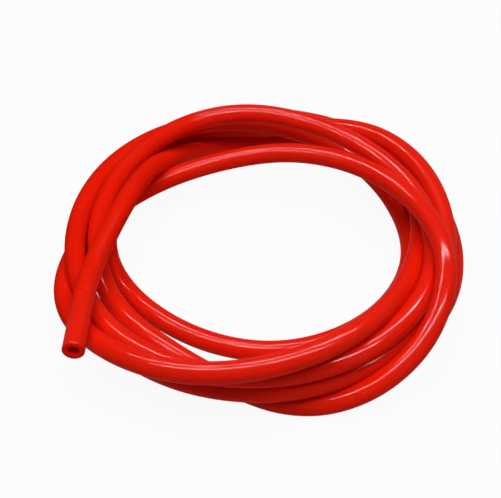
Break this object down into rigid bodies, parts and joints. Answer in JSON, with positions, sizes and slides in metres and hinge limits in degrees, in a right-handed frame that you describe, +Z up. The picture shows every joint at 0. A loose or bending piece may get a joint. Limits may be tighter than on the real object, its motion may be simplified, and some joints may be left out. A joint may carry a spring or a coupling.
{
  "type": "coiled hose",
  "caption": "Loose coil of plain round flexible hose, lying flat in overlapping oval turns, with open square-cut ends.",
  "frame": {"origin": "middle of the coil's bounding box in plan, on the surface that it lies on", "axes": "+Z up; the open end that shows lies on the -X side and points towards -Y; the other end lies under the turns on the +X, -Y side"},
  "size_m": [0.2094, 0.2318, 0.0459],
  "materials": {
    "hose_rubber": "gloss"
  },
  "bodies": {
    "root": {"hose": "hose_rubber"}
  },
  "joints": []
}
